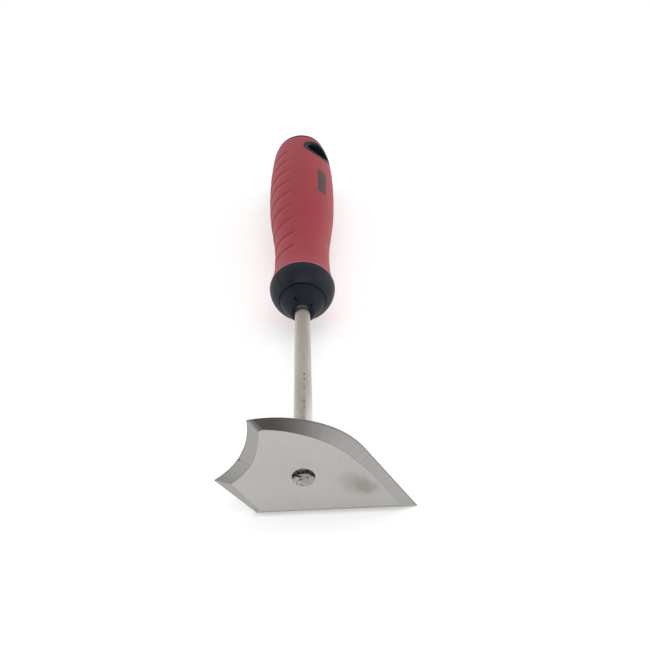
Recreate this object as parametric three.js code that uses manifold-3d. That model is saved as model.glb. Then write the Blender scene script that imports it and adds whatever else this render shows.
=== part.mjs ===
// Profile scraper (combination shave hook): a flat bevelled steel blade, plug-welded square to a
// round steel shank, in a two-component handle with a hanging eyelet. Millimetres, +Z up.
// The handle axis runs along +Y, from the blade's front face to the butt, and the lowest blade edge
// lies on Z = 0. X and Y are centred on the whole tool.

import * as THREE from 'three';
import { mergeVertices } from 'three/addons/utils/BufferGeometryUtils.js';
import Module from 'manifold-3d';

const wasm = await Module();
wasm.setup();

// ---------------------------------------------------------------- driving dimensions

const GAP = 0.3;                     // clearance between neighbouring pieces

const BLADE_THICKNESS = 3;
const EDGE_LAND = 0.25;              // thickness left at the ground edges
const BLADE_DROP = 21.1;             // handle axis down to the straight bottom edge
const RIGHT_NORMAL = 32.2;           // degrees, the way the straight right edge faces
const SHOULDER_CENTRE = new THREE.Vector2(-4.6, -6.9);
const SHOULDER_RADIUS = 34.28;       // convex edge, next to the straight right edge
const SWEEP_START = 64.5;            // degrees, where the shoulder runs into the wider sweep
const SWEEP_RADIUS = 50.34;
const HOLLOW_CENTRE = new THREE.Vector2(-54.42, 26.38);
const HOLLOW_RADIUS = 34.37;         // concave edge
const SKEW_NORMAL = 218.75;          // degrees, the way the short lower left edge faces
const SKEW_REACH = 28.87;            // handle axis to the lower left edge
const BOTTOM_BEVEL = 3.6;
const SKEW_BEVEL = 4.12;
const SKEW_BEVEL_TURN = -5.25;       // the lower left bevel narrows towards the heel
const RIGHT_BEVEL = 4;
// Hand-ground bevel widths along the curved edges: [width, the way the edge faces in degrees].
const SWEEP_BEVEL = [[5.4, 32.2], [5.95, 44], [6, 60], [5.5, 72], [4.35, 84], [3.3, 94]];
const HOLLOW_BEVEL = [[4, -58], [4.2, -47], [4.7, -38], [5, -28], [4.6, -15], [4.3, 0]];
const WELD_HOLE_RADIUS = 4.65;

const SHANK_TIP_Y = 2.3;
const SHANK_END_Y = 208;
const SHANK_RADIUS_BLADE = 3.92;
const SHANK_RADIUS_HANDLE = 3.58;
const BORE_RADIUS = SHANK_RADIUS_HANDLE + GAP;
const WING_CENTRES_Y = [150, 182];   // flattened wings that key the tang into the core
const WING_SIZE = new THREE.Vector3(11, 10, 2.4);

const NOSE_TIP_Y = 108.7;
const NOSE_TIP_RADIUS = 6;
const COLLAR_RADIUS = 10.3;
const COLLAR_BACK_Y = 124;
const BALL_CENTRE_Y = 129.9;
const BALL_RADIUS = 15.75;
const BALL_RIM_ANGLE = 41;           // degrees ahead of the widest section
const BALL_RIM_Y = 118.9;            // front of the ball, round the collar
const BALL_BACK_Y = 129.5;

const CORE_END_Y = 261.1;
const SLEEVE_FRONT_Y = 129.85;
const SLEEVE_BACK_Y = 261.3;
const BUTT_Y = 264;
const BUTT_RADIUS = 14.2;

const TOP_ANGLE = 41.5;              // degrees from +Z towards +X: the handle's own top line
const EYELET_Y = 247.5;
const EYELET_HOLE_RADIUS = 6.6;
const EYELET_RADIUS = 9.2;
const LABEL_CENTRE_Y = 210.8;
const LABEL_LENGTH = 22.5;
const LABEL_SPAN = 17;               // degrees
const LABEL_THICKNESS = 1.2;

const GROOVE_COUNT = 9;
const GROOVE_FIRST_Y = 148.6;
const GROOVE_PITCH = 12.4;
const GROOVE_CLOSING = 0.08;         // each gap is shorter than the one before it by twice this
const GROOVE_DEPTH = 0.5;
const GROOVE_LEAN = 0.03;            // millimetres along the axis per degree round the flank
const GROOVE_ZONE_LENGTH = 94.7;

// Outside of the grip and of the hard core under it: [radius, distance along the axis].
const GRIP_PROFILE = [
  [15.6, 129.85], [14.65, 135], [13.9, 141], [13.55, 152], [13.75, 163], [15.1, 178],
  [16.45, 192], [17.05, 206], [17.25, 219], [17.0, 234], [16.3, 247], [15.5, 257], [14.6, 261.9],
];
const CORE_PROFILE = [
  [10, 129.85], [10, 160], [12.6, 192], [13.2, 215], [12.8, 240], [11.6, CORE_END_Y],
];

// ---------------------------------------------------------------- helpers

const radians = THREE.MathUtils.degToRad;

/** Turns a closed three.js geometry into a manifold solid. */
function toSolid(geometry) {
  const bare = geometry.clone();
  bare.deleteAttribute('normal');
  bare.deleteAttribute('uv');
  const merged = mergeVertices(bare, 1e-4);
  return new wasm.Manifold(new wasm.Mesh({
    numProp: 3,
    vertProperties: new Float32Array(merged.attributes.position.array),
    triVerts: new Uint32Array(merged.index.array),
  }));
}

/** Turns a manifold solid back into a three.js geometry. */
function toGeometry(solid) {
  const mesh = solid.getMesh();
  const geometry = new THREE.BufferGeometry();
  geometry.setAttribute('position', new THREE.BufferAttribute(mesh.vertProperties, 3));
  geometry.setIndex(new THREE.BufferAttribute(mesh.triVerts, 1));
  geometry.computeVertexNormals();
  return geometry;
}

/** Revolves [radius, y] points around the Y axis; the profile closes itself off the axis. */
function revolve(profile, segments = 48) {
  const points = profile.map(([radius, y]) => new THREE.Vector2(radius, y));
  const onAxis = profile[0][0] === 0;
  if (!onAxis) {
    points.push(points[0].clone());
  }
  return toSolid(new THREE.LatheGeometry(points, segments));
}

/** A rod along Y between two stations, moved sideways by (x, z). */
function rodAlongY(radius, from, to, x = 0, z = 0, segments = 40) {
  const geometry = new THREE.CylinderGeometry(radius, radius, to - from, segments);
  geometry.translate(x, (from + to) / 2, z);
  return toSolid(geometry);
}

/** A rod square to the handle axis, through station y, pointing at the handle's top line. */
function rodAcross(radius, y, length, segments = 40) {
  const geometry = new THREE.CylinderGeometry(radius, radius, length, segments);
  geometry.rotateX(Math.PI / 2);
  geometry.rotateY(radians(TOP_ANGLE));
  geometry.translate(0, y, 0);
  return toSolid(geometry);
}

function box(size, centre) {
  const geometry = new THREE.BoxGeometry(size.x, size.y, size.z);
  geometry.translate(centre.x, centre.y, centre.z);
  return toSolid(geometry);
}

/** Radius of a [radius, y] profile at station y, along a smooth curve through its points. */
function radiusAt(profile, y) {
  const last = profile.length - 1;
  let i = 0;
  while (i < last - 1 && profile[i + 1][1] < y) {
    i += 1;
  }
  const slope = (k) => {
    const a = profile[Math.max(k - 1, 0)];
    const b = profile[Math.min(k + 1, last)];
    return (b[0] - a[0]) / (b[1] - a[1]);
  };
  const [r0, y0] = profile[i];
  const [r1, y1] = profile[i + 1];
  const span = y1 - y0;
  const t = THREE.MathUtils.clamp((y - y0) / span, 0, 1);
  const t2 = t * t;
  const t3 = t2 * t;
  return r0 * (2 * t3 - 3 * t2 + 1) + slope(i) * span * (t3 - 2 * t2 + t)
    + r1 * (3 * t2 - 2 * t3) + slope(i + 1) * span * (t3 - t2);
}

/** Closed skin over rings of points: rings run along, each ring has the same point count. */
function skin(rings, closeAlong) {
  const count = rings[0].length;
  const positions = rings.flat().flatMap((point) => [point.x, point.y, point.z]);
  const index = [];
  const last = closeAlong ? rings.length : rings.length - 1;
  for (let i = 0; i < last; i += 1) {
    const next = (i + 1) % rings.length;
    for (let j = 0; j < count; j += 1) {
      const k = (j + 1) % count;
      index.push(i * count + j, next * count + j, next * count + k);
      index.push(i * count + j, next * count + k, i * count + k);
    }
  }
  const geometry = new THREE.BufferGeometry();
  geometry.setAttribute('position', new THREE.Float32BufferAttribute(positions, 3));
  geometry.setIndex(index);
  return geometry;
}

/** Point at a radius, station and angle (degrees from +Z towards +X). */
function onHandle(radius, y, angle) {
  const a = radians(angle);
  return new THREE.Vector3(radius * Math.sin(a), y, radius * Math.cos(a));
}

// ---------------------------------------------------------------- blade

/** Where two circles meet, on the side with the larger y. */
function circlesMeet(centreA, radiusA, centreB, radiusB) {
  const across = centreB.clone().sub(centreA);
  const distance = across.length();
  const along = (distance ** 2 + radiusA ** 2 - radiusB ** 2) / (2 * distance);
  const aside = Math.sqrt(radiusA ** 2 - along ** 2);
  const unit = across.normalize();
  const left = new THREE.Vector2(-unit.y, unit.x);
  const side = left.y > 0 ? aside : -aside;
  return centreA.clone().addScaledVector(unit, along).addScaledVector(left, side);
}

/** Angle of a point seen from a centre, in degrees. */
function bearing(centre, point) {
  return THREE.MathUtils.radToDeg(Math.atan2(point.y - centre.y, point.x - centre.x));
}

/** Point at a bearing in degrees around a centre. */
function around(centre, radius, angle) {
  const a = radians(angle);
  return new THREE.Vector2(centre.x + radius * Math.cos(a), centre.y + radius * Math.sin(a));
}

/** Where a line, given by its normal and reach, crosses a height. */
function lineAtHeight(normal, reach, height) {
  const a = radians(normal);
  return new THREE.Vector2((reach - height * Math.sin(a)) / Math.cos(a), height);
}

/**
 * Outline of the blade seen from the front: x right, y up, anticlockwise. With inset 0 it is the
 * ground edge, with inset 1 the flat face inside the bevels. Both have the same point count.
 */
function bladeOutline(inset) {
  const bottom = -BLADE_DROP + BOTTOM_BEVEL * inset;
  const facing = new THREE.Vector2(Math.cos(radians(RIGHT_NORMAL)), Math.sin(radians(RIGHT_NORMAL)));
  const rightReach = SHOULDER_CENTRE.dot(facing) + SHOULDER_RADIUS;
  const skewNormal = SKEW_NORMAL + SKEW_BEVEL_TURN * inset;
  const skewReach = SKEW_REACH - SKEW_BEVEL * inset;
  const tip = lineAtHeight(RIGHT_NORMAL, rightReach - RIGHT_BEVEL * inset, bottom);
  const points = [lineAtHeight(skewNormal, skewReach, bottom), tip];

  const straightEnd = around(SHOULDER_CENTRE, SHOULDER_RADIUS, RIGHT_NORMAL);
  for (const distance of [15, 10, 5]) {
    const width = RIGHT_BEVEL + (SWEEP_BEVEL[0][0] - RIGHT_BEVEL) * (1 - distance / 15) ** 2;
    points.push(new THREE.Vector2(facing.y, -facing.x)
      .multiplyScalar(distance)
      .add(straightEnd)
      .addScaledVector(facing, -width * inset));
  }
  for (let i = 0; i < 10; i += 1) {
    const angle = RIGHT_NORMAL + (SWEEP_START - RIGHT_NORMAL) * i / 10;
    const width = radiusAt(SWEEP_BEVEL, angle) * inset;
    points.push(around(SHOULDER_CENTRE, SHOULDER_RADIUS - width, angle));
  }
  const sweepCentre = around(SHOULDER_CENTRE, SHOULDER_RADIUS - SWEEP_RADIUS, SWEEP_START);
  const corner = circlesMeet(sweepCentre, SWEEP_RADIUS - SWEEP_BEVEL.at(-1)[0] * inset,
    HOLLOW_CENTRE, HOLLOW_RADIUS + HOLLOW_BEVEL.at(-1)[0] * inset);
  const sweepEnd = bearing(sweepCentre, corner) - (inset ? 1.3 : 3.6);
  for (let i = 0; i <= 12; i += 1) {
    const angle = SWEEP_START + (sweepEnd - SWEEP_START) * i / 12;
    points.push(around(sweepCentre, SWEEP_RADIUS - radiusAt(SWEEP_BEVEL, angle) * inset, angle));
  }
  // The bevels blend over a few millimetres of edge and meet in a small radius on the face.
  const hollowStart = bearing(HOLLOW_CENTRE, corner) - 1.6 * inset;
  const blendStart = points.at(-1);
  const hollowRadius = (angle) => HOLLOW_RADIUS + radiusAt(HOLLOW_BEVEL, angle) * inset;
  const blendEnd = around(HOLLOW_CENTRE, hollowRadius(hollowStart), hollowStart);
  for (const t of [1 / 3, 2 / 3, 1]) {
    const bend = new THREE.QuadraticBezierCurve(blendStart, corner, blendEnd);
    const onSweep = around(sweepCentre, SWEEP_RADIUS, sweepEnd + 3.6 * t);
    points.push(inset ? bend.getPoint(t) : onSweep);
  }
  const gap = HOLLOW_CENTRE.dot(around(new THREE.Vector2(), 1, skewNormal)) - skewReach;
  const toeRadius = HOLLOW_RADIUS + HOLLOW_BEVEL[1][0] * inset;
  const toe = skewNormal - 180 - THREE.MathUtils.radToDeg(Math.acos(gap / toeRadius));
  for (let i = 1; i <= 14; i += 1) {
    const angle = hollowStart + (toe - hollowStart) * i / 14;
    points.push(around(HOLLOW_CENTRE, hollowRadius(angle), angle));
  }
  return points;
}

function makeBlade() {
  const edge = bladeOutline(0);
  const face = bladeOutline(1);
  const ring = (outline, y) => outline.map((point) => new THREE.Vector3(point.x, y, point.y));
  const rings = [
    ring(face, 0),
    ring(edge, BLADE_THICKNESS - EDGE_LAND),
    ring(edge, BLADE_THICKNESS),
  ];
  const geometry = skin(rings, false);
  const index = [...geometry.index.array];
  const backStart = 2 * edge.length;
  for (const [a, b, c] of THREE.ShapeUtils.triangulateShape(face, [])) {
    index.push(a, b, c);
  }
  for (const [a, b, c] of THREE.ShapeUtils.triangulateShape(edge, [])) {
    index.push(backStart + a, backStart + c, backStart + b);
  }
  geometry.setIndex(index);
  return toSolid(geometry).subtract(rodAlongY(WELD_HOLE_RADIUS, -5, 10));
}

/** Weld metal that fills the lower part of the hole over the shank's tip. */
function makePlugWeld() {
  const front = 0.15;
  const back = SHANK_TIP_Y - GAP;
  const plug = rodAlongY(WELD_HOLE_RADIUS - GAP, front, back);
  return plug.intersect(rodAlongY(WELD_HOLE_RADIUS, front - 1, back + 1, 0.3, -1.9));
}

// ---------------------------------------------------------------- shank

function makeShank() {
  const profile = [
    [0, SHANK_TIP_Y], [SHANK_RADIUS_BLADE - 0.5, SHANK_TIP_Y], [SHANK_RADIUS_BLADE, SHANK_TIP_Y + 0.5],
    [SHANK_RADIUS_BLADE, 36], [SHANK_RADIUS_HANDLE, 104], [SHANK_RADIUS_HANDLE, SHANK_END_Y - 1],
    [SHANK_RADIUS_HANDLE - 1, SHANK_END_Y], [0, SHANK_END_Y],
  ];
  let solid = revolve(profile, 40);
  for (const y of WING_CENTRES_Y) {
    solid = solid.add(box(WING_SIZE, new THREE.Vector3(0, y, 0)));
  }
  return solid;
}

// ---------------------------------------------------------------- handle

/** Cone at the front of the handle, with two small moulding slots beside the shank. */
function makeNoseCollar() {
  const collar = revolve([
    [BORE_RADIUS, NOSE_TIP_Y], [NOSE_TIP_RADIUS - 0.7, NOSE_TIP_Y], [NOSE_TIP_RADIUS, NOSE_TIP_Y + 0.7],
    [COLLAR_RADIUS - 0.4, BALL_RIM_Y - 0.9], [COLLAR_RADIUS, BALL_RIM_Y], [COLLAR_RADIUS, COLLAR_BACK_Y],
    [BORE_RADIUS, COLLAR_BACK_Y],
  ]);
  const slot = new THREE.Vector3(1.2, 2.4, 1.6);
  return collar
    .subtract(box(slot, onHandle(7.2, NOSE_TIP_Y + 2.6, -23)))
    .subtract(box(slot, onHandle(6.6, NOSE_TIP_Y + 1.4, TOP_ANGLE)));
}

/** Ball-shaped finger guard in front of the grip, bored for the shank and for the collar. */
function makeBolster() {
  const seat = COLLAR_RADIUS + GAP;
  const profile = [
    [BORE_RADIUS, BALL_BACK_Y], [BORE_RADIUS, COLLAR_BACK_Y + GAP], [seat, COLLAR_BACK_Y + GAP],
    [seat, BALL_RIM_Y + 0.15], [seat + 0.3, BALL_RIM_Y],
  ];
  const steps = 10;
  for (let i = steps; i >= 0; i -= 1) {
    const a = radians(BALL_RIM_ANGLE * i / steps);
    const y = Math.min(BALL_CENTRE_Y - BALL_RADIUS * Math.sin(a), BALL_BACK_Y);
    profile.push([BALL_RADIUS * Math.cos(a), y]);
  }
  return revolve(profile, 56);
}

/** Hard core: carries the tang and is crossed by the hanging eyelet. */
function makeHandleCore() {
  const bottom = SHANK_END_Y + GAP;
  const profile = [[0, bottom], [BORE_RADIUS, bottom], [BORE_RADIUS, SLEEVE_FRONT_Y]];
  CORE_PROFILE.forEach((point) => profile.push(point));
  profile.push([0, CORE_END_Y]);
  let solid = revolve(profile, 40);
  const pocket = WING_SIZE.clone().addScalar(2 * GAP);
  for (const y of WING_CENTRES_Y) {
    solid = solid.subtract(box(pocket, new THREE.Vector3(0, y, 0)));
  }
  return solid.subtract(rodAcross(EYELET_RADIUS + GAP, EYELET_Y, 60));
}

/** Angle away from the handle's top line, 0 to 180 degrees on either flank. */
function angleFromTop(angle) {
  const turned = THREE.MathUtils.euclideanModulo(angle - TOP_ANGLE + 180, 360) - 180;
  return Math.abs(turned);
}

/** Where the grooves begin, in degrees from the top line: the ribbed zone narrows to the butt. */
function grooveStart(y) {
  return 50 + 13 * THREE.MathUtils.clamp((y - GROOVE_FIRST_Y) / GROOVE_ZONE_LENGTH, 0, 1);
}

/** Share of the groove depth at a place on the flank. */
function grooveShare(y, angle) {
  const away = angleFromTop(angle);
  return THREE.MathUtils.smoothstep(away, grooveStart(y), grooveStart(y) + 12)
    * (1 - THREE.MathUtils.smoothstep(away, 138, 152));
}

/** Stations of the grip's rings with the share of depth and of lean at each: shallow shingles. */
function gripStations() {
  const stations = [[SLEEVE_FRONT_Y, 0, 0], [132, 0, 0], [135, 0, 0], [139, 0, 0]];
  for (let i = 0; i < GROOVE_COUNT; i += 1) {
    const y = GROOVE_FIRST_Y + i * GROOVE_PITCH - GROOVE_CLOSING * i * (i - 1);
    stations.push([y - 3, 0, 1], [y, 1, 1], [y + 0.9, 0, 1], [y + 3.4, 0, 0]);
  }
  stations.push([251, 0, 0], [256, 0, 0], [260, 0, 0], [SLEEVE_BACK_Y, 0, 0]);
  return stations;
}

function makeGripSleeve() {
  const segments = 56;
  const angles = Array.from({ length: segments }, (_, i) => TOP_ANGLE - 360 * i / segments);
  const rings = gripStations().map(([y, deep, leaning]) => angles.map((angle) => {
    const share = grooveShare(y, angle);
    const lean = GROOVE_LEAN * (angleFromTop(angle) - grooveStart(y)) * leaning * share;
    return onHandle(radiusAt(GRIP_PROFILE, y) - GROOVE_DEPTH * deep * share, y - lean, angle);
  }));
  const inner = CORE_PROFILE.map(([radius, y]) => {
    const end = y > SLEEVE_FRONT_Y + 1 && y > CORE_END_Y - 1 ? SLEEVE_BACK_Y : y;
    return angles.map((angle) => onHandle(radius + GAP, end, angle));
  });
  rings.push(...inner.reverse());
  const window = rodAcross(EYELET_RADIUS + GAP, EYELET_Y, 60);
  return toSolid(skin(rings, true)).subtract(window).subtract(labelPatch(GAP));
}

/** Curved block under the grip's surface; with clearance it is the pocket that it sits in. */
function labelPatch(clearance) {
  const steps = 6;
  const stations = 5;
  const halfLength = LABEL_LENGTH / 2 + clearance;
  const halfSpan = LABEL_SPAN / 2 + clearance * 3.4;
  const outer = clearance > 0 ? 2 : 0.1;
  const rings = [];
  for (let i = 0; i <= stations; i += 1) {
    const y = LABEL_CENTRE_Y - halfLength + 2 * halfLength * i / stations;
    const radius = radiusAt(GRIP_PROFILE, y);
    const ring = [];
    for (let j = 0; j <= steps; j += 1) {
      ring.push(onHandle(radius + outer, y, TOP_ANGLE + halfSpan - 2 * halfSpan * j / steps));
    }
    for (let j = steps; j >= 0; j -= 1) {
      ring.push(onHandle(radius - LABEL_THICKNESS - clearance, y,
        TOP_ANGLE + halfSpan - 2 * halfSpan * j / steps));
    }
    rings.push(ring);
  }
  const geometry = skin(rings, false);
  const count = rings[0].length;
  const index = [...geometry.index.array];
  const lastRing = stations * count;
  for (let j = 0; j < steps; j += 1) {
    const k = count - 1 - j;
    index.push(j, j + 1, k - 1, j, k - 1, k);
    index.push(lastRing + j, lastRing + k - 1, lastRing + j + 1);
    index.push(lastRing + j, lastRing + k, lastRing + k - 1);
  }
  geometry.setIndex(index);
  return toSolid(geometry);
}

/** Liner of the hanging hole, trimmed to the grip's surface on both sides. */
function makeEyelet() {
  const proud = 0.2;
  const profile = [[0, SLEEVE_FRONT_Y]];
  GRIP_PROFILE.forEach(([radius, y]) => profile.push([radius + proud, y]));
  profile.push([0, SLEEVE_BACK_Y]);
  const envelope = revolve(profile, 72);
  return rodAcross(EYELET_RADIUS, EYELET_Y, 60)
    .intersect(envelope)
    .subtract(rodAcross(EYELET_HOLE_RADIUS, EYELET_Y, 60));
}

function makeEndCap() {
  const front = SLEEVE_BACK_Y + GAP;
  return revolve([
    [0, front], [BUTT_RADIUS, front], [BUTT_RADIUS, BUTT_Y - 0.8], [BUTT_RADIUS - 0.8, BUTT_Y],
    [0, BUTT_Y],
  ], 56);
}

// ---------------------------------------------------------------- assembly

const STEEL = { color: 0xa9a49e, roughness: 0.45, metalness: 1 };
const PLATED = { color: 0x9a9187, roughness: 0.32, metalness: 1 };
const WELD = { color: 0x5e544a, roughness: 0.8, metalness: 0.7 };
const BLACK = { color: 0x24282d, roughness: 0.42, metalness: 0 };
const RED = { color: 0x9c343f, roughness: 0.62, metalness: 0 };
const GREY = { color: 0x4f4a4b, roughness: 0.6, metalness: 0 };

const pieces = [
  ['blade', makeBlade(), STEEL],
  ['plug_weld', makePlugWeld(), WELD],
  ['shank', makeShank(), PLATED],
  ['nose_collar', makeNoseCollar(), BLACK],
  ['bolster', makeBolster(), BLACK],
  ['handle_core', makeHandleCore(), BLACK],
  ['grip_sleeve', makeGripSleeve(), RED],
  ['label_plate', labelPatch(0), GREY],
  ['hanging_eyelet', makeEyelet(), BLACK],
  ['end_cap', makeEndCap(), BLACK],
];

const group = new THREE.Group();
for (const [name, solid, look] of pieces) {
  const mesh = new THREE.Mesh(toGeometry(solid), new THREE.MeshStandardMaterial(look));
  mesh.name = name;
  group.add(mesh);
}
const reach = new THREE.Box3().setFromObject(group);
group.position.set(-(reach.min.x + reach.max.x) / 2, -(reach.min.y + reach.max.y) / 2, BLADE_DROP);

export default group;
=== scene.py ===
"""Profile paint scraper: bevelled steel blade on a round shank, with a red and black moulded handle.

Sizes are millimetres in the tool's own frame: x to the right and z up from the handle axis, y from
the blade's front face towards the butt. place() turns them into metres in the CAD model's frame.
"""

import math

import bmesh
import bpy
from mathutils import Matrix, Vector, noise


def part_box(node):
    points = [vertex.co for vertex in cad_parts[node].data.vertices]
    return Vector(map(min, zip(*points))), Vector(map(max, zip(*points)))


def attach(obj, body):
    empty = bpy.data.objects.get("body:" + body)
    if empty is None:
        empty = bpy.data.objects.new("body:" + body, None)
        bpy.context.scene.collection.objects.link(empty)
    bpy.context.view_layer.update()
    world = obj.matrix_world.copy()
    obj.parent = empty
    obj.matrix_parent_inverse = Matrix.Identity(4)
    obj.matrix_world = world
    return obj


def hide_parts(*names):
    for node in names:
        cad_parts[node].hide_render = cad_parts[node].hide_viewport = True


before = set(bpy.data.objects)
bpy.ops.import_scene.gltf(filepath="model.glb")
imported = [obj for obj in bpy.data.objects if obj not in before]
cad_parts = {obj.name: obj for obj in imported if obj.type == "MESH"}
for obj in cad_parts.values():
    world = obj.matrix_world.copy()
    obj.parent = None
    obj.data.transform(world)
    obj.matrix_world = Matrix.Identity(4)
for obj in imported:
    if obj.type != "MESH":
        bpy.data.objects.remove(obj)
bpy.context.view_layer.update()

# ------------------------------------------------------------------ sizes, in millimetres and degrees

# Blade. A normal is the way a straight edge faces and a reach its distance from the handle axis.
BLADE_THICKNESS = 3.0
EDGE_LAND = 0.22
BLADE_DROP = 21.1
RIGHT_NORMAL = 32.2
SHOULDER_CENTRE = Vector((-4.6, -6.9))
SHOULDER_RADIUS = 34.28
SWEEP_START = 64.5
SWEEP_RADIUS = 50.34
HOLLOW_CENTRE = Vector((-54.42, 26.38))
HOLLOW_RADIUS = 34.37
SKEW_NORMAL = 218.75
SKEW_REACH = 28.87
BOTTOM_BEVEL = 3.6
SKEW_BEVEL = 4.12
SKEW_BEVEL_TURN = -5.25
RIGHT_BEVEL = 4.0
RIGHT_FLARE_LENGTH = 15
# Hand-ground bevel widths along the curved edges: (width, bearing of the edge from its centre).
SWEEP_BEVEL = [(5.4, 32.2), (5.95, 44), (6.0, 60), (5.5, 72), (4.35, 84), (3.3, 94)]
HOLLOW_BEVEL = [(4.0, -58), (4.2, -47), (4.7, -38), (5.0, -28), (4.6, -15), (4.3, 0)]
# How far the top left corner is rounded along its edges, outside and on the flat face.
CORNER_BLEND = 3.6
FACE_BLEND_SWEEP = 2.9
FACE_BLEND_HOLLOW = 2.4
NICK_ANGLE = -30.5
NICK_WIDTH = 0.45
NICK_DEPTH = 0.28

# The weld is flush near a point WELD_POOL_DROP below the hole's middle and deep past WELD_POOL_EDGE.
WELD_HOLE_RADIUS = 4.65
WELD_POOL_DROP = 4.35
WELD_POOL_EDGE = (5.6, 6.25)
WELD_POOL_DEPTH = 1.5
WELD_BACK_Y = 2.15

SHANK_FRONT_Y = 2.4
SHANK_RADIUS_BLADE = 3.92
SHANK_RADIUS_HANDLE = 3.58
TAPER_START_Y = 36
TAPER_LENGTH = 68
TANG_END_Y = 208.0
# Radius of a lathe profile's end point, just off the axis.
ON_AXIS = 0.02

NOSE_TIP_Y = 108.7
NOSE_TIP_RADIUS = 6.0
NOSE_TIP_ROUND = 1.95
# Moulding slots in the cone: bearing, radius, station, turn.
NOSE_SLOTS = ((-23, 7.3, 111.7, 30), (48, 6.15, 110.0, 0))
CONE_PROFILE = [(8.1, 113.2), (9.4, 116.1)]
COLLAR_RADIUS = 10.3
COLLAR_EDGE_ROUND = 0.4
COLLAR_BACK_Y = 124.0
SEAT_GROWTH = 0.42
BALL_CENTRE_Y = 129.9
BALL_RADIUS = 15.75
BALL_RIM_ANGLE = 45.0
BALL_RIM_Y = 118.9
BALL_BACK_Y = 129.5
MOULD_LINE_DEPTH = 0.34

TOP_ANGLE = 41.5
EYELET_Y = 247.5
EYELET_HOLE_RADIUS = 6.6
EYELET_RADIUS = 9.2
EYELET_PLAY = 0.12
EYELET_PROUD = 0.12
LABEL_CENTRE_Y = 210.8
LABEL_LENGTH = 22.5
LABEL_SPAN = 17.0
SLEEVE_FRONT_Y = 129.85
SLEEVE_BACK_Y = 261.3
BUTT_Y = 264.0
BUTT_RADIUS = 14.2
WORN_BEARING = 78
WORN_SPREAD = 34
WORN_DEPTH = 0.9
WORN_STATIONS = (246, 263)

# Each groove deepens over GROOVE_RAMP up to its own line and ends over GROOVE_STEP behind it.
GROOVE_COUNT = 9
GROOVE_FIRST_Y = 148.6
GROOVE_PITCH = 12.4
GROOVE_CLOSING = 0.08
GROOVE_DEPTH = 0.5
GROOVE_LEAN = 0.03
GROOVE_RAMP = 5.0
GROOVE_STEP = 1.5
# Where they start and end, in degrees from the handle's top line; the start drifts off to the butt.
GROOVE_ZONE_LENGTH = 94.7
GROOVE_START = 47
GROOVE_START_DRIFT = 13
GROOVE_FADE = 12
GROOVE_END = (138, 152)

# Outer and inner profile of the grip: (radius, station).
GRIP_PROFILE = [
    (15.6, 129.85), (14.65, 135), (13.9, 141), (13.55, 152), (13.75, 163), (15.1, 178),
    (16.45, 192), (17.05, 206), (17.25, 219), (17.0, 234), (16.3, 247), (15.5, 257), (14.6, 261.9),
]
GRIP_BORE = [
    (12.0, SLEEVE_BACK_Y), (13.4, 240), (13.5, 215), (12.9, 192), (10.5, 160), (10.5, SLEEVE_FRONT_Y),
]

CAMERA_EYE = (14.87, -316.13, 306.19)
CAMERA_TARGET = (10.33, 99.3, 0.0)
CAMERA_ROLL = -2.93
CAMERA_LENS = 62.03

# ------------------------------------------------------------------ light, in metres and watts

TENT_STRENGTH = 0.8
OPENING_HEIGHT = 50.0
OPENING_TURN = -10.0
# Brightness of the tent by the cosine of the angle from the middle of its opening.
OPENING_RAMP = [(0.3, 1.0), (0.55, 0.9), (0.70, 0.70), (0.88, 0.26), (0.97, 0.06), (1.0, 0.03)]
FLOOR_HALF = 4.0
FLOOR_GLOW = 0.42
SIDE_TARGET = (0, 0.05, 0.02)
SIDE_SIZE = (0.3, 1.0)
# Area lights: name, place, target, size, power.
LIGHTS = [
    ("front_light", (0.05, -0.42, 1.05), (0, -0.05, 0.0), (1.0, 0.5), 5.0),
    ("right_light", (1.0, 0.15, 0.3), SIDE_TARGET, SIDE_SIZE, 2.5),
    ("left_light", (-1.0, 0.15, 0.3), SIDE_TARGET, SIDE_SIZE, 1.875),
]

# ------------------------------------------------------------------ frame and camera

shank_low, shank_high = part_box("shank")
blade_low, blade_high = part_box("blade")
AXIS_X = (shank_low[0] + shank_high[0]) / 2
AXIS_Z = (shank_low[2] + shank_high[2]) / 2
FRONT_Y = blade_low[1]


def place(x, y, z):
    """Tool millimetres to metres in the CAD frame."""
    return Vector((AXIS_X + x / 1000, FRONT_Y + y / 1000, AXIS_Z + z / 1000))


def make_camera():
    data = bpy.data.cameras.new("camera")
    data.sensor_width = 36.0
    data.lens = CAMERA_LENS
    data.clip_start = 0.01
    data.clip_end = 20.0
    camera = bpy.data.objects.new("camera", data)
    bpy.context.scene.collection.objects.link(camera)
    eye = place(*CAMERA_EYE)
    target = place(*CAMERA_TARGET)
    aim = (target - eye).to_track_quat("-Z", "Y").to_matrix()
    roll = Matrix.Rotation(math.radians(CAMERA_ROLL), 3, "Z")
    camera.matrix_world = Matrix.Translation(eye) @ (aim @ roll).to_4x4()
    bpy.context.scene.camera = camera


make_camera()

# ------------------------------------------------------------------ mesh helpers


def add_piece(name, mesh, nodes, material):
    """Links a mesh as a piece that rides on the one rigid body and stands for its CAD nodes."""
    piece = bpy.data.objects.new(name, mesh)
    bpy.context.scene.collection.objects.link(piece)
    mesh.materials.clear()
    mesh.materials.append(material)
    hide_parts(*nodes)
    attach(piece, "root")
    return piece


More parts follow.
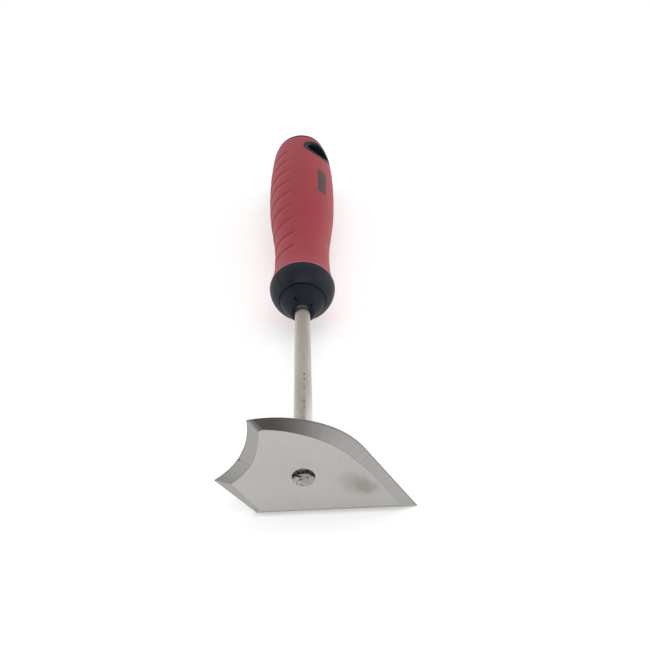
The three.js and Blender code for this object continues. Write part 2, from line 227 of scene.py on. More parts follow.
def mesh_from(name, rings, loop=False):
    """Closed mesh over rings of tool-frame points, all with the same count.

    With loop the last ring joins the first one, otherwise both ends are capped.
    """
    mesh = bpy.data.meshes.new(name)
    count = len(rings[0])
    verts = [place(*point) for ring in rings for point in ring]
    faces = []
    last = len(rings) if loop else len(rings) - 1
    for i in range(last):
        a = i * count
        b = (i + 1) % len(rings) * count
        for j in range(count):
            k = (j + 1) % count
            faces.append((a + j, a + k, b + k, b + j))
    if not loop:
        start = last * count
        faces.append(tuple(reversed(range(count))))
        faces.append(tuple(range(start, start + count)))
    mesh.from_pydata(verts, [], faces)
    mesh.update()
    return mesh


def tidy_normals(mesh, sharp_angle=35.0):
    """Outward faces, smooth shading and sharp edges above an angle."""
    bm = bmesh.new()
    bm.from_mesh(mesh)
    bmesh.ops.remove_doubles(bm, verts=bm.verts, dist=1e-7)
    bmesh.ops.recalc_face_normals(bm, faces=bm.faces)
    limit = math.radians(sharp_angle)
    for face in bm.faces:
        face.smooth = True
    for edge in bm.edges:
        if len(edge.link_faces) == 2 and edge.calc_face_angle() > limit:
            edge.smooth = False
    bm.to_mesh(mesh)
    bm.free()
    mesh.update()


def lathe_rings(profile, segments, wobble=None):
    """Rings around the handle axis from (radius, y) points."""
    rings = []
    for radius, y in profile:
        ring = []
        for j in range(segments):
            a = 2 * math.pi * j / segments
            r = radius + (wobble(radius, y, a) if wobble else 0.0)
            ring.append((r * math.sin(a), y, r * math.cos(a)))
        rings.append(ring)
    return rings


def arc(centre, radius, start, end, steps):
    """(radius, y) points of an arc in a lathe profile; angles in degrees from the radius axis."""
    points = []
    for i in range(steps + 1):
        a = math.radians(start + (end - start) * i / steps)
        points.append((centre[0] + radius * math.cos(a), centre[1] + radius * math.sin(a)))
    return points


def smooth_step(low, high, value):
    t = min(max((value - low) / (high - low), 0.0), 1.0)
    return t * t * (3 - 2 * t)


def radius_at(profile, y):
    """Radius of a (radius, y) profile at station y, along a smooth curve through its points."""
    last = len(profile) - 1
    i = 0
    while i < last - 1 and profile[i + 1][1] < y:
        i += 1

    def slope(k):
        a = profile[max(k - 1, 0)]
        b = profile[min(k + 1, last)]
        return (b[0] - a[0]) / (b[1] - a[1])

    r0, y0 = profile[i]
    r1, y1 = profile[i + 1]
    span = y1 - y0
    t = min(max((y - y0) / span, 0.0), 1.0)
    return (r0 * (2 * t**3 - 3 * t**2 + 1) + slope(i) * span * (t**3 - 2 * t**2 + t)
            + r1 * (3 * t**2 - 2 * t**3) + slope(i + 1) * span * (t**3 - t**2))


def apply_modifiers(piece):
    """Replaces the piece's mesh by its modified one."""
    graph = bpy.context.evaluated_depsgraph_get()
    mesh = bpy.data.meshes.new_from_object(piece.evaluated_get(graph))
    piece.modifiers.clear()
    old = piece.data
    piece.data = mesh
    bpy.data.meshes.remove(old)


def cut(piece, cutter_mesh):
    """Subtracts a closed mesh from a piece."""
    cutter = bpy.data.objects.new("cutter", cutter_mesh)
    bpy.context.scene.collection.objects.link(cutter)
    boolean = piece.modifiers.new("cut", "BOOLEAN")
    boolean.operation = "DIFFERENCE"
    boolean.solver = "EXACT"
    boolean.object = cutter
    apply_modifiers(piece)
    bpy.data.objects.remove(cutter)
    bpy.data.meshes.remove(cutter_mesh)


# ------------------------------------------------------------------ materials


class Nodes:
    """Small wrapper that makes a principled material and its nodes."""

    def __init__(self, name):
        self.material = bpy.data.materials.new(name)
        self.material.use_nodes = True
        self.tree = self.material.node_tree
        self.tree.nodes.clear()
        self.shader = self.tree.nodes.new("ShaderNodeBsdfPrincipled")
        output = self.tree.nodes.new("ShaderNodeOutputMaterial")
        self.tree.links.new(self.shader.outputs["BSDF"], output.inputs["Surface"])
        self.coords = self.tree.nodes.new("ShaderNodeTexCoord").outputs["Object"]

    def set(self, **values):
        for key, value in values.items():
            self.shader.inputs[key.replace("_", " ")].default_value = value

    def link(self, source, target):
        self.tree.links.new(source, target)

    def mapped(self, scale=(1, 1, 1)):
        node = self.tree.nodes.new("ShaderNodeMapping")
        node.inputs["Scale"].default_value = scale
        self.link(self.coords, node.inputs["Vector"])
        return node.outputs["Vector"]

    def noise(self, vector, scale, detail, roughness):
        node = self.tree.nodes.new("ShaderNodeTexNoise")
        node.inputs["Scale"].default_value = scale
        node.inputs["Detail"].default_value = detail
        node.inputs["Roughness"].default_value = roughness
        self.link(vector, node.inputs["Vector"])
        return node.outputs["Fac"]

    def ramp(self, source, stops):
        node = self.tree.nodes.new("ShaderNodeValToRGB")
        ramp = node.color_ramp
        while len(ramp.elements) > len(stops):
            ramp.elements.remove(ramp.elements[-1])
        while len(ramp.elements) < len(stops):
            ramp.elements.new(1.0)
        for element, (position, value) in zip(ramp.elements, stops):
            element.position = position
            element.color = (*value, 1.0) if isinstance(value, tuple) else (value, value, value, 1.0)
        self.link(source, node.inputs["Fac"])
        return node.outputs["Color"]

    def mix(self, factor, a, b, blend="MIX"):
        node = self.tree.nodes.new("ShaderNodeMix")
        node.data_type = "RGBA"
        node.blend_type = blend
        for socket, value in (("Factor", factor), ("A", a), ("B", b)):
            target = [s for s in node.inputs if s.name == socket and s.enabled][0]
            if hasattr(value, "is_linked"):
                self.link(value, target)
            elif socket == "Factor":
                target.default_value = value
            else:
                target.default_value = (*value, 1.0)
        return [s for s in node.outputs if s.enabled][0]

    def math(self, operation, a, b=0.0):
        node = self.tree.nodes.new("ShaderNodeMath")
        node.operation = operation
        for index, value in enumerate((a, b)):
            if hasattr(value, "is_linked"):
                self.link(value, node.inputs[index])
            else:
                node.inputs[index].default_value = value
        return node.outputs["Value"]

    def offset(self, axis):
        """Metres from the handle axis along X or Z, or from the blade's front face along Y."""
        node = self.tree.nodes.new("ShaderNodeSeparateXYZ")
        self.link(self.coords, node.inputs[0])
        origin = {"X": AXIS_X, "Y": FRONT_Y, "Z": AXIS_Z}[axis]
        return self.math("SUBTRACT", node.outputs[axis], origin)

    def attribute(self, name):
        node = self.tree.nodes.new("ShaderNodeAttribute")
        node.attribute_name = name
        return node.outputs["Fac"]

    def line_noise(self, value, scale, detail):
        """Noise along a single coordinate."""
        node = self.tree.nodes.new("ShaderNodeTexNoise")
        node.noise_dimensions = "1D"
        node.inputs["Scale"].default_value = scale
        node.inputs["Detail"].default_value = detail
        self.link(value, node.inputs["W"])
        return node.outputs["Fac"]

    def between(self, value, low, high):
        """0 below low, 1 above high, smooth in between."""
        node = self.tree.nodes.new("ShaderNodeMapRange")
        node.interpolation_type = "SMOOTHSTEP"
        node.inputs["From Min"].default_value = low
        node.inputs["From Max"].default_value = high
        self.link(value, node.inputs["Value"])
        return node.outputs["Result"]

    def until(self, value, low, high):
        """1 below low, 0 above high, smooth in between."""
        return self.math("SUBTRACT", 1.0, self.between(value, low, high))

    def both(self, a, b):
        """Product of two shares."""
        return self.math("MULTIPLY", a, b)

    def tint(self, tone, share, strength, colour):
        """Moves a tone towards a colour where the share says so."""
        return self.mix(self.both(share, strength), tone, colour)

    def spot(self, centre, half_size, turn, drift, ragged, flat="Y"):
        """1 inside an ellipse in the tool's own frame, fading over a ragged border.

        flat is the axis that the ellipse ignores; centre and half_size run along the other two.
        """
        first, second = half_size[0] / 1000, half_size[1] / 1000
        spin = math.radians(turn)
        if flat == "Y":
            settings = (place(centre[0], 0, centre[1]), (first, 10.0, second), (0.0, spin, 0.0))
        else:
            settings = (place(centre[0], centre[1], 0), (first, second, 10.0), (0.0, 0.0, spin))
        node = self.tree.nodes.new("ShaderNodeMapping")
        node.vector_type = "TEXTURE"
        for socket, value in zip(("Location", "Scale", "Rotation"), settings):
            node.inputs[socket].default_value = value
        self.link(self.coords, node.inputs["Vector"])
        length = self.tree.nodes.new("ShaderNodeVectorMath")
        length.operation = "LENGTH"
        self.link(node.outputs["Vector"], length.inputs[0])
        shift = self.math("MULTIPLY", self.math("SUBTRACT", drift, 0.5), 2 * ragged)
        reach = self.math("ADD", length.outputs["Value"], shift)
        return self.until(reach, 0.35, 1.15)

    def bump(self, height, distance, strength):
        node = self.tree.nodes.new("ShaderNodeBump")
        node.inputs["Distance"].default_value = distance
        node.inputs["Strength"].default_value = strength
        self.link(height, node.inputs["Height"])
        return node.outputs["Normal"]

    def colour(self, source):
        self.link(source, self.shader.inputs["Base Color"])

    def rough(self, source):
        self.link(source, self.shader.inputs["Roughness"])

    def normal(self, source):
        self.link(source, self.shader.inputs["Normal"])


# Zones of the bevel by the distance travelled along the edge from the heel, in metres.
BURNT_FROM = (0.116, 0.146)
TOP_LEFT_CORNER = (0.1506, 0.1514)

# Dark specks in the weld: (centre, half size, colour), and pits on the shank: (y, length, strength).
WELD_SPECKS = (((-1.3, 0.5), (1.6, 0.8), (0.04, 0.028, 0.02)),
               ((-1.0, -1.1), (1.0, 0.7), (0.06, 0.045, 0.03)),
               ((1.3, 0.0), (1.1, 0.5), (0.07, 0.05, 0.035)))
SHANK_PITS = ((59.5, 1.1, 0.85), (56.2, 0.9, 0.8), (50.5, 1.3, 0.4),
              (41.5, 1.6, 0.45), (37.8, 1.0, 0.45), (72.0, 2.2, 0.25))


def blade_material():
    """Ground steel: a quiet face with a stain, and cross-ground bevels with darker edges."""
    n = Nodes("blade_steel")
    n.set(Metallic=1.0)
    cloud = n.noise(n.mapped(), 45.0, 5.0, 0.6)
    fine = n.noise(n.mapped((900, 1, 60)), 3.0, 3.0, 0.6)
    tone = n.ramp(cloud, [(0.25, (0.447, 0.433, 0.415)), (0.75, (0.497, 0.473, 0.456))])
    tone = n.mix(0.07, tone, n.ramp(fine, [(0.3, 0.3), (0.7, 0.7)]))
    tone = n.tint(tone, n.between(n.offset("X"), 0.006, 0.026), 0.09, (0.2, 0.21, 0.2))

    depth = n.offset("Y")
    on_bevel = n.between(depth, 0.00002, 0.00008)
    along = n.attribute("along")
    broad = n.line_noise(along, 420.0, 3.0)
    narrow = n.line_noise(along, 2300.0, 2.0)
    grind = n.math("ADD", n.math("MULTIPLY", broad, 0.45), n.math("MULTIPLY", narrow, 0.55))
    ground = n.mix(1.0, tone, n.ramp(grind, [(0.3, 0.80), (0.7, 0.95)]), "MULTIPLY")
    tone = n.mix(on_bevel, tone, ground)
    burnt = n.both(n.between(along, *BURNT_FROM), n.until(along, *TOP_LEFT_CORNER))
    blotch = n.ramp(cloud, [(0.35, (0.145, 0.128, 0.128)), (0.65, (0.185, 0.148, 0.156))])
    tone = n.tint(tone, n.both(burnt, on_bevel), 0.8, blotch)
    hollow = n.both(n.between(along, *TOP_LEFT_CORNER), on_bevel)
    tone = n.tint(tone, hollow, 0.26, (0.22, 0.225, 0.222))
    line = n.math("SUBTRACT", on_bevel, n.between(depth, 0.0001, 0.00022))
    tone = n.tint(tone, line, 0.3, (0.12, 0.115, 0.11))
    # Darker band along the outer bevel and the ground edge's land.
    dark_edge_band = n.between(depth, 0.0024, 0.0029)
    tone = n.tint(tone, dark_edge_band, 0.6, (0.10, 0.095, 0.09))

    drift = n.noise(n.mapped(), 190.0, 4.0, 0.6)
    haze = n.spot((21.0, -4.2), (10.0, 5.6), 28.0, drift, 0.8)
    tone = n.tint(tone, haze, 0.34, (0.33, 0.295, 0.255))
    core = n.spot((23.6, -5.8), (6.0, 3.8), 36.0, drift, 0.7)
    tone = n.tint(tone, core, 0.30, (0.22, 0.185, 0.155))
    for z in (-14.35, -15.0):
        scratch = n.spot((23.0, z), (1.4, 0.14), 4.0, drift, 0.3)
        tone = n.tint(tone, scratch, 0.3, (0.2, 0.19, 0.18))
    dirt = n.spot((-24.9, 8.8), (1.15, 0.6), 50.0, drift, 0.6)
    tone = n.tint(tone, dirt, 0.75, (0.06, 0.055, 0.05))
    heat = n.spot((0.0, 0.0), (6.2, 6.2), 0.0, drift, 1.4)
    n.colour(n.tint(tone, heat, 0.10, (0.62, 0.63, 0.61)))

    rough = n.ramp(cloud, [(0.2, 0.38), (0.8, 0.46)])
    n.rough(n.tint(rough, haze, 0.5, (0.6, 0.6, 0.6)))
    n.normal(n.bump(n.both(grind, on_bevel), 0.000012, 0.6))
    return n.material


def weld_material():
    """Bright, pitted metal where the weld was dressed flush, darkened with painted shade where it
    lies deep.
    """
    n = Nodes("weld_metal")
    n.set(Metallic=0.9)
    spots = n.noise(n.mapped(), 1100.0, 5.0, 0.65)
    metal = n.ramp(spots, [(0.33, (0.10, 0.08, 0.065)), (0.43, (0.36, 0.32, 0.285)),
                           (0.6, (0.53, 0.50, 0.47))])
    drift = n.noise(n.mapped(), 700.0, 3.0, 0.6)
    for centre, size, colour in WELD_SPECKS:
        metal = n.mix(n.spot(centre, size, 0.0, drift, 0.7), metal, colour)
    calm = n.spot((1.6, -2.0), (3.0, 2.4), 0.0, drift, 0.7)
    metal = n.tint(metal, calm, 0.7, (0.36, 0.355, 0.34))
    # Painted shade: the weld turns dark where it lies deep under the hole's upper edge.
    painted_shade = n.ramp(spots, [(0.4, (0.05, 0.047, 0.052)), (0.65, (0.26, 0.25, 0.26))])
    n.colour(n.mix(n.between(n.offset("Y"), 0.00022, 0.0006), metal, painted_shade))
    n.rough(n.ramp(spots, [(0.3, 0.65), (0.7, 0.42)]))
    n.normal(n.bump(spots, 0.00025, 0.7))
    return n.material


def shank_material():
    """Nickel plating, with a painted highlight on the right flank near the blade, and pitted along
    its upper side.
    """
    n = Nodes("shank_plating")
    n.set(Metallic=1.0)
    side = n.offset("X")
    cloud = n.noise(n.mapped((1, 0.25, 1)), 160.0, 5.0, 0.6)
    pits = n.noise(n.mapped((1, 0.7, 1)), 900.0, 3.0, 0.6)
    tone = n.ramp(cloud, [(0.3, (0.425, 0.385, 0.335)), (0.7, (0.525, 0.488, 0.437))])

    top = n.until(n.math("ABSOLUTE", n.math("SUBTRACT", side, 0.0003)), 0.0005, 0.0019)
    tone = n.tint(tone, top, 0.13, (0.27, 0.24, 0.205))
    near_blade = n.until(n.offset("Y"), 0.028, 0.056)
    speckle = n.both(n.ramp(pits, [(0.40, 1.0), (0.58, 0.0)]), n.both(top, near_blade))
    tone = n.tint(tone, speckle, 0.4, (0.16, 0.15, 0.12))
    flank = n.both(n.between(side, 0.0006, 0.0018), near_blade)
    # Painted highlight: the right flank near the blade is paled towards bright metal.
    painted_highlight = n.both(flank, n.ramp(cloud, [(0.35, 0.55), (0.6, 1.0)]))
    tone = n.tint(tone, painted_highlight, 0.62, (0.80, 0.785, 0.74))
    drift = n.noise(n.mapped(), 500.0, 3.0, 0.6)
    for y, length, strength in SHANK_PITS:
        pit = n.spot((0.7, y), (0.42, length), 0.0, drift, 0.8, flat="Z")
        tone = n.tint(tone, pit, strength, (0.05, 0.042, 0.038))
    n.colour(tone)
    n.rough(n.ramp(cloud, [(0.3, 0.3), (0.75, 0.44)]))
    n.normal(n.bump(pits, 0.00008, 0.3))
    return n.material


def black_material(name, shine):
    """Black plastic, with a pale patch of painted light on the upper lip that the shank goes into."""
    n = Nodes(name)
    n.set(IOR=1.45, Specular_IOR_Level=shine)
    cloud = n.noise(n.mapped(), 130.0, 4.0, 0.6)
    fine = n.noise(n.mapped(), 4200.0, 2.0, 0.5)
    tone = n.ramp(cloud, [(0.3, (0.006, 0.009, 0.016)), (0.7, (0.011, 0.015, 0.024))])
    # Painted light: a pale patch on the upper lip round the shank that lifts its shade.
    painted_light_patch = n.spot((0.0, NOSE_TIP_Y), (3.3, 0.36), 0.0, cloud, 0.3, flat="Z")
    painted_light_patch = n.both(painted_light_patch, n.between(n.offset("Z"), 0.001, 0.003))
    n.colour(n.tint(tone, painted_light_patch, 0.6, (0.20, 0.185, 0.17)))
    n.rough(n.ramp(cloud, [(0.3, 0.42), (0.7, 0.55)]))
    n.normal(n.bump(fine, 0.00003, 0.35))
    return n.material


def red_material():
    """Soft red skin, with a painted highlight along the thin lip behind the ball."""
    n = Nodes("red_grip")
    n.set(IOR=1.45, Specular_IOR_Level=0.35)
    n.set(Sheen_Weight=0.12, Sheen_Roughness=0.5, Sheen_Tint=(1.0, 0.8, 0.8, 1.0))
    cloud = n.noise(n.mapped(), 60.0, 5.0, 0.6)
    fine = n.noise(n.mapped(), 2600.0, 3.0, 0.6)
    tone = n.ramp(cloud, [(0.25, (0.287, 0.022, 0.032)), (0.75, (0.341, 0.033, 0.044))])
    behind_ball = n.math("SUBTRACT", n.offset("Y"), SLEEVE_FRONT_Y / 1000)
    # Painted highlight: the rounded lip behind the ball is paled towards pink.
    lip = n.until(behind_ball, 0.0002, 0.0009)
    n.colour(n.tint(tone, lip, 0.6, (0.56, 0.30, 0.31)))
    n.rough(n.ramp(cloud, [(0.3, 0.58), (0.7, 0.68)]))
    n.normal(n.bump(fine, 0.00005, 0.4))
    return n.material


def label_material():
    """Plain dark inlay that stands in for the printing."""
    n = Nodes("label_grey")
    n.set(IOR=1.45)
    fine = n.noise(n.mapped(), 1500.0, 3.0, 0.6)
    n.colour(n.ramp(fine, [(0.3, (0.040, 0.021, 0.023)), (0.7, (0.068, 0.038, 0.041))]))
    n.rough(n.ramp(fine, [(0.3, 0.5), (0.7, 0.62)]))
    n.normal(n.bump(fine, 0.00005, 0.3))
    return n.material


BLADE = blade_material()
WELD = weld_material()
SHANK = shank_material()
BLACK = black_material("black_plastic", 0.22)
DULL_BLACK = black_material("black_plastic_dull", 0.12)
RED = red_material()
LABEL = label_material()

# ------------------------------------------------------------------ blade


def circles_meet(centre_a, radius_a, centre_b, radius_b):
    """Where two circles meet, on the side with the larger z."""
    across = centre_b - centre_a
    distance = across.length
    along = (distance**2 + radius_a**2 - radius_b**2) / (2 * distance)
    aside = math.sqrt(radius_a**2 - along**2)
    unit = across.normalized()
    left = Vector((-unit.y, unit.x))
    return centre_a + unit * along + left * math.copysign(aside, left.y)


def bearing(centre, point):
    return math.degrees(math.atan2(point.y - centre.y, point.x - centre.x))


def around(centre, radius, angle):
    """Point at a bearing in degrees around a centre."""
    a = math.radians(angle)
    return centre + Vector((math.cos(a), math.sin(a))) * radius


def line_at_height(normal, reach, height):
    """Where a line, given by its normal and reach, crosses a height."""
    a = math.radians(normal)
    return Vector(((reach - height * math.sin(a)) / math.cos(a), height))


def blade_outline(inset):
    """Blade outline seen from the front, anticlockwise, as (x, z) vectors.

    With inset 0 it is the ground edge, with inset 1 the flat face inside the bevels.
    """
    bottom = -BLADE_DROP + BOTTOM_BEVEL * inset
    facing = around(Vector((0, 0)), 1.0, RIGHT_NORMAL)
    right_reach = SHOULDER_CENTRE.dot(facing) + SHOULDER_RADIUS
    skew_normal = SKEW_NORMAL + SKEW_BEVEL_TURN * inset
    skew_reach = SKEW_REACH - SKEW_BEVEL * inset
    heel = line_at_height(skew_normal, skew_reach, bottom)
    tip = line_at_height(RIGHT_NORMAL, right_reach - RIGHT_BEVEL * inset, bottom)
    points = []
    bottom_steps = 24
    for i in range(bottom_steps):
        points.append(heel.lerp(tip, i / bottom_steps))

    straight_end = around(SHOULDER_CENTRE, SHOULDER_RADIUS, RIGHT_NORMAL)
    along = Vector((facing.y, -facing.x))
    run = (tip - straight_end).dot(along)
    right_steps = 24
    for i in range(right_steps):
        distance = run * (1 - i / right_steps)
        flare = max(1 - distance / RIGHT_FLARE_LENGTH, 0.0) ** 2
        width = RIGHT_BEVEL + (SWEEP_BEVEL[0][0] - RIGHT_BEVEL) * flare
        points.append(straight_end + along * distance - facing * width * inset)

    shoulder_steps = 36
    for i in range(shoulder_steps):
        angle = RIGHT_NORMAL + (SWEEP_START - RIGHT_NORMAL) * i / shoulder_steps
        width = radius_at(SWEEP_BEVEL, angle) * inset
        points.append(around(SHOULDER_CENTRE, SHOULDER_RADIUS - width, angle))

    sweep_centre = around(SHOULDER_CENTRE, SHOULDER_RADIUS - SWEEP_RADIUS, SWEEP_START)
    corner = circles_meet(sweep_centre, SWEEP_RADIUS - SWEEP_BEVEL[-1][0] * inset,
                          HOLLOW_CENTRE, HOLLOW_RADIUS + HOLLOW_BEVEL[-1][0] * inset)
    sweep_end = bearing(sweep_centre, corner) - (FACE_BLEND_SWEEP if inset else CORNER_BLEND)
    sweep_steps = 48
    for i in range(sweep_steps + 1):
        angle = SWEEP_START + (sweep_end - SWEEP_START) * i / sweep_steps
        width = radius_at(SWEEP_BEVEL, angle) * inset
        points.append(around(sweep_centre, SWEEP_RADIUS - width, angle))

    def hollow_point(angle):
        return around(HOLLOW_CENTRE, HOLLOW_RADIUS + radius_at(HOLLOW_BEVEL, angle) * inset, angle)

    hollow_start = bearing(HOLLOW_CENTRE, corner) - FACE_BLEND_HOLLOW * inset
    blend_start = points[-1]
    blend_end = hollow_point(hollow_start)
    blend_steps = 6
    for i in range(1, blend_steps + 1):
        t = i / blend_steps
        bend = blend_start * (1 - t) ** 2 + corner * 2 * t * (1 - t) + blend_end * t**2
        on_sweep = around(sweep_centre, SWEEP_RADIUS, sweep_end + CORNER_BLEND * t)
        points.append(bend if inset else on_sweep)
    skew_facing = around(Vector((0, 0)), 1.0, skew_normal)
    gap = HOLLOW_CENTRE.dot(skew_facing) - skew_reach
    toe_radius = HOLLOW_RADIUS + HOLLOW_BEVEL[1][0] * inset
    toe_angle = skew_normal - 180 - math.degrees(math.acos(gap / toe_radius))
    hollow_steps = 110
    for i in range(1, hollow_steps + 1):
        angle = hollow_start + (toe_angle - hollow_start) * i / hollow_steps
        point = hollow_point(angle)
        if not inset:
            nick = (angle - NICK_ANGLE) / NICK_WIDTH
            point += (point - HOLLOW_CENTRE).normalized() * NICK_DEPTH * math.exp(-nick * nick)
        points.append(point)
    toe = points[-1]
    skew_steps = 16
    for i in range(1, skew_steps):
        points.append(toe.lerp(heel, i / skew_steps))
    return points


def make_blade():
    edge = blade_outline(0)
    face = blade_outline(1)
    back = BLADE_THICKNESS - EDGE_LAND
    rings = [[(p.x, y, p.y) for p in outline]
             for outline, y in ((face, 0.0), (edge, back), (edge, BLADE_THICKNESS))]
    mesh = mesh_from("blade_plate", rings)
    along = mesh.attributes.new("along", "FLOAT", "POINT")
    travelled = 0.0
    for j, point in enumerate(edge):
        if j:
            travelled += (point - edge[j - 1]).length / 1000
        for ring in range(len(rings)):
            along.data[ring * len(edge) + j].value = travelled
    blade = add_piece("blade_plate", mesh, ["blade"], BLADE)
    tidy_normals(mesh, 12)
    hole = mesh_from("hole", lathe_rings([(WELD_HOLE_RADIUS, -4), (WELD_HOLE_RADIUS, 8)], 96))
    tidy_normals(hole)
    cut(blade, hole)
    soften = blade.modifiers.new("soften", "BEVEL")
    soften.width = 0.00009
    soften.segments = 2
    soften.limit_method = "ANGLE"
    soften.angle_limit = math.radians(14)
    apply_modifiers(blade)
    tidy_normals(blade.data, 50)


def fractal(x, z, seed, scale, octaves):
    """Repeatable rough noise across the blade's plane."""
    return noise.fractal(Vector((x, z, seed)) * scale, 1.0, 2.0, octaves)


def make_weld():
    """Rough weld metal: nearly flush low in the hole, deep under its upper edge."""
    segments = 160
    steps = 60
    rings = []
    for i in range(steps + 1):
        share = (i + 0.3) / (steps + 0.3)
        ring = []
        for j in range(segments):
            a = 2 * math.pi * j / segments
            low = smooth_step(0.15, 0.75, -math.cos(a))
            radius = (WELD_HOLE_RADIUS - 0.03 + 0.16 * low) * share
            x = radius * math.sin(a)
            z = radius * math.cos(a)
            away = math.hypot(x, z + WELD_POOL_DROP) + 0.35 * fractal(x, z, 1.3, 0.7, 4)
            y = -0.02 + WELD_POOL_DEPTH * smooth_step(*WELD_POOL_EDGE, away)
            lumps = 0.16 * fractal(x, z, 3.7, 0.8, 5) + 0.09 * fractal(x, z, 9.1, 2.6, 4)
            y += lumps * (1 - 0.85 * smooth_step(0.82, 1.0, share) * low)
            ring.append((x, max(y, -0.04), z))
        rings.append(ring)
    rings.append([(x * 0.96, WELD_BACK_Y, z * 0.96) for x, _, z in rings[-1]])
    mesh = mesh_from("plug_weld_bead", rings)
    add_piece("plug_weld_bead", mesh, ["plug_weld"], WELD)
    tidy_normals(mesh, 70)


# ------------------------------------------------------------------ shank


def make_shank():
    thin, thick = SHANK_RADIUS_HANDLE, SHANK_RADIUS_BLADE
    profile = [(ON_AXIS, SHANK_FRONT_Y), (thick - 0.6, SHANK_FRONT_Y), (thick, BLADE_THICKNESS)]
    straight_steps = 12
    for i in range(1, straight_steps + 1):
        run = (TAPER_START_Y - BLADE_THICKNESS) * i / straight_steps
        profile.append((thick, BLADE_THICKNESS + run))
    taper_steps = 24
    for i in range(1, taper_steps + 1):
        radius = thick + (thin - thick) * i / taper_steps
        profile.append((radius, TAPER_START_Y + TAPER_LENGTH * i / taper_steps))
    profile += [(thin, TANG_END_Y - 1), (thin - 1, TANG_END_Y), (ON_AXIS, TANG_END_Y)]

    def wobble(radius, y, a):
        return 0.035 * noise.noise(Vector((math.sin(a) * 2, y * 0.12, math.cos(a) * 2)))

    mesh = mesh_from("shank_rod", lathe_rings(profile, 96, wobble))
    add_piece("shank_rod", mesh, ["shank"], SHANK)
    tidy_normals(mesh, 40)


# ------------------------------------------------------------------ black front of the handle


def seat_growth(a):
    """How much wider the cone's rear edge and its seat are away from the top, so that they blend."""
    from_top = math.degrees(abs((a + math.pi) % (2 * math.pi) - math.pi))
    return SEAT_GROWTH * smooth_step(35, 85, from_top)


def make_collar():
    """Cone round the shank: a short flat ring at its tip and a fine step where it meets the ball."""
    bore = SHANK_RADIUS_HANDLE + 0.1
    profile = [(bore + 0.06, NOSE_TIP_Y + 0.06), (bore + 0.2, NOSE_TIP_Y)]
    tip_centre = (NOSE_TIP_RADIUS - NOSE_TIP_ROUND, NOSE_TIP_Y + NOSE_TIP_ROUND)
    profile += arc(tip_centre, NOSE_TIP_ROUND, -90, -25, 12)
    profile += CONE_PROFILE
    profile += arc((COLLAR_RADIUS - 0.25, BALL_RIM_Y - 0.35), COLLAR_EDGE_ROUND, -32, 0, 6)
    outer = profile[-1][0]
    profile += [(outer, COLLAR_BACK_Y), (bore, COLLAR_BACK_Y), (bore, NOSE_TIP_Y + 0.12)]
    cone_end = CONE_PROFILE[-1][1]

    def widen(radius, y, a):
        return seat_growth(a) * smooth_step(cone_end, cone_end + 2.2, y) if radius > bore + 1 else 0.0

    mesh = mesh_from("nose_cone", lathe_rings(profile, 160, widen), loop=True)
    cone = add_piece("nose_cone", mesh, ["nose_collar"], DULL_BLACK)
    tidy_normals(mesh, 40)
    for angle, radius, y, turn in NOSE_SLOTS:
        cut(cone, slot_cutter(radius, y, angle, turn))
    tidy_normals(cone.data, 30)


def slot_cutter(radius, y, angle, turn):
    """Small wedge for a moulding slot in the nose."""
    size = Vector((0.55, 1.1, 0.8))
    spin = Matrix.Rotation(math.radians(turn), 3, "Z")
    rings = []
    for height, grow in ((-size.z, 0.7), (size.z * 2, 1.3)):
        ring = []
        for sx, sy in ((-1, -1), (1, -1), (1, 1), (-1, 1)):
            local = spin @ Vector((sx * size.x * grow, sy * size.y * grow, height))
            ring.append(tuple(Matrix.Rotation(math.radians(angle), 3, "Y") @
                              Vector((local.x, y + local.y, radius + local.z))))
        rings.append(ring)
    mesh = mesh_from("slot", rings)
    tidy_normals(mesh)
    return mesh


def make_bolster():
    bore = SHANK_RADIUS_HANDLE + 0.3
    seat = COLLAR_RADIUS + 0.2
    seat_back = COLLAR_BACK_Y + 0.3
    rim_radius = BALL_RADIUS * math.cos(math.radians(BALL_RIM_ANGLE))
    rim_y = BALL_CENTRE_Y - BALL_RADIUS * math.sin(math.radians(BALL_RIM_ANGLE))
    profile = [(bore, BALL_BACK_Y), (bore, seat_back), (seat, seat_back), (seat, BALL_RIM_Y + 0.5)]
    profile += [(seat + 0.03, rim_y + 0.1), (seat + 0.1, rim_y + 0.03)]
    steps = 40
    for i in range(steps + 1):
        a = math.radians(BALL_RIM_ANGLE - (BALL_RIM_ANGLE - 2.5) * i / steps)
        profile.append((BALL_RADIUS * math.cos(a), BALL_CENTRE_Y - BALL_RADIUS * math.sin(a)))
    profile += [(BALL_RADIUS - 0.06, BALL_BACK_Y - 0.25), (BALL_RADIUS - 0.3, BALL_BACK_Y)]

    def shape(radius, y, a):
        """Growth of the seat inside the rim, and a groove for the mould line on the ball."""
        if radius < rim_radius - 0.5:
            return seat_growth(a) if radius >= seat else 0.0
        if y > BALL_BACK_Y - 0.1:
            return 0.0
        away = abs((math.degrees(a) - TOP_ANGLE) % 180 - 90)
        return -MOULD_LINE_DEPTH * (1 - smooth_step(0.3, 1.7, away))

    mesh = mesh_from("ball_bolster", lathe_rings(profile, 720, shape), loop=True)
    add_piece("ball_bolster", mesh, ["bolster"], BLACK)
    tidy_normals(mesh, 40)


# ------------------------------------------------------------------ grip


def angle_from_top(angle):
    """Degrees away from the handle's own top line, on either flank."""
    return abs((angle - TOP_ANGLE + 180) % 360 - 180)


